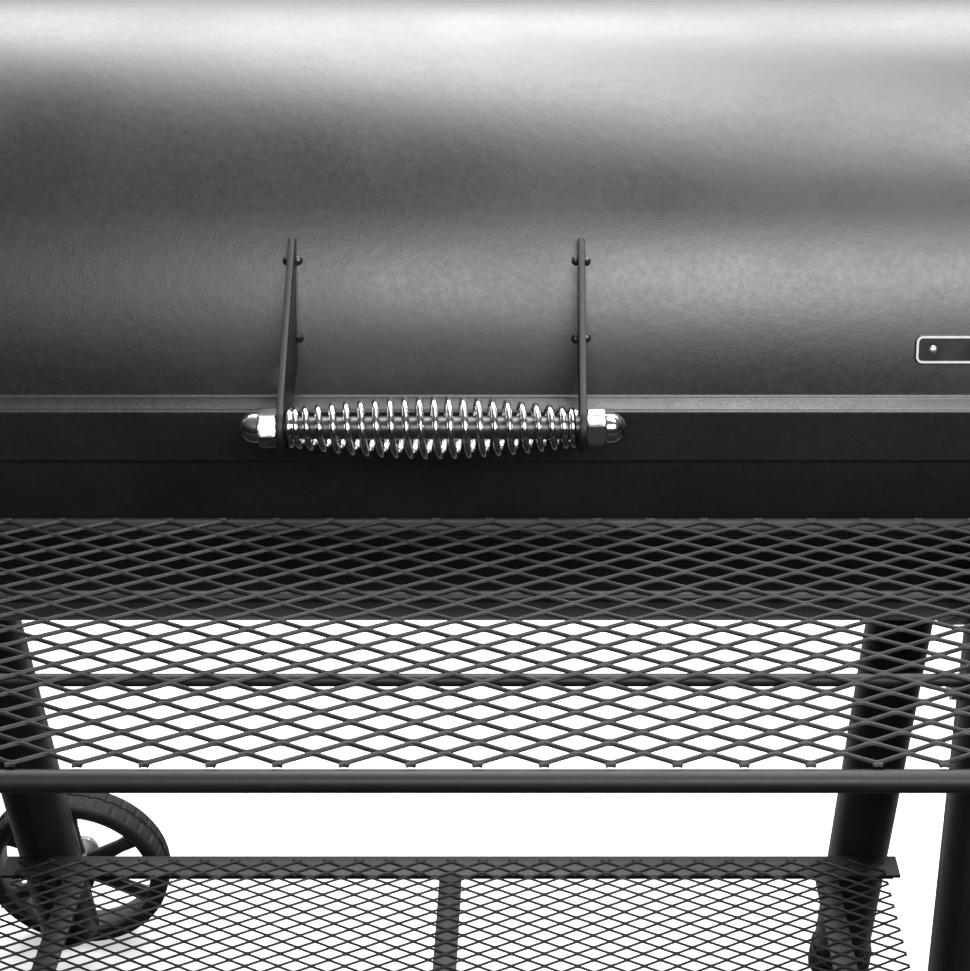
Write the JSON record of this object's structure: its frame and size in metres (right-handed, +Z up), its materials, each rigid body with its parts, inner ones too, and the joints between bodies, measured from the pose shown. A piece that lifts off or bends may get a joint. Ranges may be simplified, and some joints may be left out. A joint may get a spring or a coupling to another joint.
{
  "type": "offset smoker",
  "caption": "Barrel smoker with a hinged lid, spring handle, side firebox, chimney, mesh front shelf and an A-frame stand on feet and wheels.",
  "frame": {"origin": "on the floor, under the middle of the object's outline", "axes": "+Z up, the front with the lid handle and shelf faces -Y, +X towards the firebox"},
  "size_m": [1.4538, 0.743, 1.3695],
  "materials": {
    "black_paint": "satin heat-resistant black, fine grain",
    "chrome": "bright plated",
    "zinc_plated_steel": "plated, slightly dull",
    "cast_iron": "matt, seasoned",
    "dark_steel_rod": "dark, oiled",
    "badge_metal": "blank plate with a pale rim",
    "foot_rubber": "matt",
    "tyre_rubber": "matt",
    "gauge_glass": "clear",
    "dial_face": "satin",
    "needle_paint": "satin",
    "wheel_paint": "satin black"
  },
  "bodies": {
    "stand": {"chamber_shell": "black_paint", "chamber_end_left": "black_paint", "chamber_end_right": "black_paint", "grate_ledges": "black_paint", "chamber_hinge_straps": "black_paint", "hinge_pins": "zinc_plated_steel", "drain_tube": "black_paint", "chimney_elbow": "black_paint", "chimney_pipe": "black_paint", "chimney_cap_bolt": "zinc_plated_steel", "firebox_shell": "black_paint", "firebox_inner_end": "black_paint", "firebox_outer_end": "black_paint", "firebox_hinge_straps": "black_paint", "door_hinge_pins": "zinc_plated_steel", "hex_bolts": "zinc_plated_steel", "leg_sockets": "black_paint", "wheel_side_legs": "black_paint", "foot_side_legs": "black_paint", "foot_caps": "foot_rubber", "axle": "zinc_plated_steel", "axle_nuts": "chrome", "lower_shelf_frame": "black_paint", "lower_shelf_mesh": "black_paint", "shelf_frame": "black_paint", "shelf_mesh": "black_paint", "shelf_brackets": "black_paint"},
    "lid": {"lid_shell": "black_paint", "lid_lip": "black_paint", "lid_side_bands": "black_paint", "lid_hinge_straps": "black_paint", "lid_handle_brackets": "black_paint", "lid_handle_rod": "dark_steel_rod", "lid_handle_spring": "chrome", "lid_handle_nuts": "chrome", "badge_plate": "badge_metal", "thermometer_case": "chrome", "thermometer_dial": "dial_face", "thermometer_lens": "gauge_glass"},
    "needle": {"thermometer_needle": "needle_paint"},
    "grate_left": {"cooking_grate_left": "cast_iron"},
    "grate_middle": {"cooking_grate_middle": "cast_iron"},
    "grate_right": {"cooking_grate_right": "cast_iron"},
    "bail": {"bucket_bail": "zinc_plated_steel"},
    "bucket": {"grease_bucket": "zinc_plated_steel"},
    "firebox_lid": {"firebox_lid": "black_paint", "firebox_lid_straps": "black_paint", "firebox_handle_brackets": "black_paint", "firebox_handle_rod": "dark_steel_rod", "firebox_handle_spring": "chrome", "firebox_handle_nuts": "chrome"},
    "firebox_door": {"firebox_door": "black_paint"},
    "latch": {"door_latch": "black_paint"},
    "vent": {"door_vent": "black_paint"},
    "charcoal_grate": {"charcoal_grate": "cast_iron"},
    "chimney_cap": {"chimney_cap": "black_paint"},
    "wheel_front": {"wheel_front": "wheel_paint", "tyre_front": "tyre_rubber"},
    "wheel_rear": {"wheel_rear": "wheel_paint", "tyre_rear": "tyre_rubber"}
  },
  "joints": [
    {"name": "lid_hinge", "type": "hinge", "parent": "stand", "child": "lid", "pos_m": [-0.148, 0.2668, 0.907], "axis": [-1, 0, 0], "range_deg": [0, 100]},
    {"name": "thermometer_needle_turn", "type": "hinge", "parent": "lid", "child": "needle", "pos_m": [-0.468, -0.0848, 0.9299], "axis": [0, 0.788, -0.6157], "range_deg": [0, 250], "stiffness_Nm_per_rad": 0.002},
    {"name": "grate_left_lift", "type": "slide", "parent": "stand", "child": "grate_left", "axis": [0, 0, 1], "range_m": [0, 0.05]},
    {"name": "grate_middle_lift", "type": "slide", "parent": "stand", "child": "grate_middle", "axis": [0, 0, 1], "range_m": [0, 0.05]},
    {"name": "grate_right_lift", "type": "slide", "parent": "stand", "child": "grate_right", "axis": [0, 0, 1], "range_m": [0, 0.05]},
    {"name": "charcoal_grate_lift", "type": "slide", "parent": "stand", "child": "charcoal_grate", "axis": [0, 0, 1], "range_m": [0, 0.08]},
    {"name": "bail_swing", "type": "hinge", "parent": "stand", "child": "bail", "pos_m": [-0.558, 0.08147, 0.582], "axis": [1, 0, 0], "range_deg": [-15, 15]},
    {"name": "bucket_swing", "type": "hinge", "parent": "bail", "child": "bucket", "pos_m": [-0.558, 0.08147, 0.535], "axis": [1, 0, 0], "range_deg": [-12, 12]},
    {"name": "firebox_lid_hinge", "type": "hinge", "parent": "stand", "child": "firebox_lid", "pos_m": [0.5, 0.21902, 0.80393], "axis": [-1, 0, 0], "range_deg": [0, 95]},
    {"name": "firebox_door_hinge", "type": "hinge", "parent": "stand", "child": "firebox_door", "pos_m": [0.703, 0.19347, 0.58], "axis": [0, 0, 1], "range_deg": [0, 110]},
    {"name": "door_latch_turn", "type": "hinge", "parent": "firebox_door", "child": "latch", "pos_m": [0.699, 0.00347, 0.58], "axis": [1, 0, 0], "range_deg": [-40, 35]},
    {"name": "door_vent_turn", "type": "hinge", "parent": "firebox_door", "child": "vent", "pos_m": [0.699, 0.08147, 0.58], "axis": [1, 0, 0], "range_deg": [0, 45]},
    {"name": "chimney_cap_swivel", "type": "hinge", "parent": "stand", "child": "chimney_cap", "pos_m": [-0.683, 0.13147, 1.361], "axis": [0, 0, 1], "range_deg": [0, 120]},
    {"name": "wheel_front_spin", "type": "hinge", "parent": "stand", "child": "wheel_front", "pos_m": [-0.551, -0.17009, 0.09], "axis": [0, 1, 0], "continuous": true},
    {"name": "wheel_rear_spin", "type": "hinge", "parent": "stand", "child": "wheel_rear", "pos_m": [-0.551, 0.33303, 0.09], "axis": [0, 1, 0], "continuous": true}
  ]
}
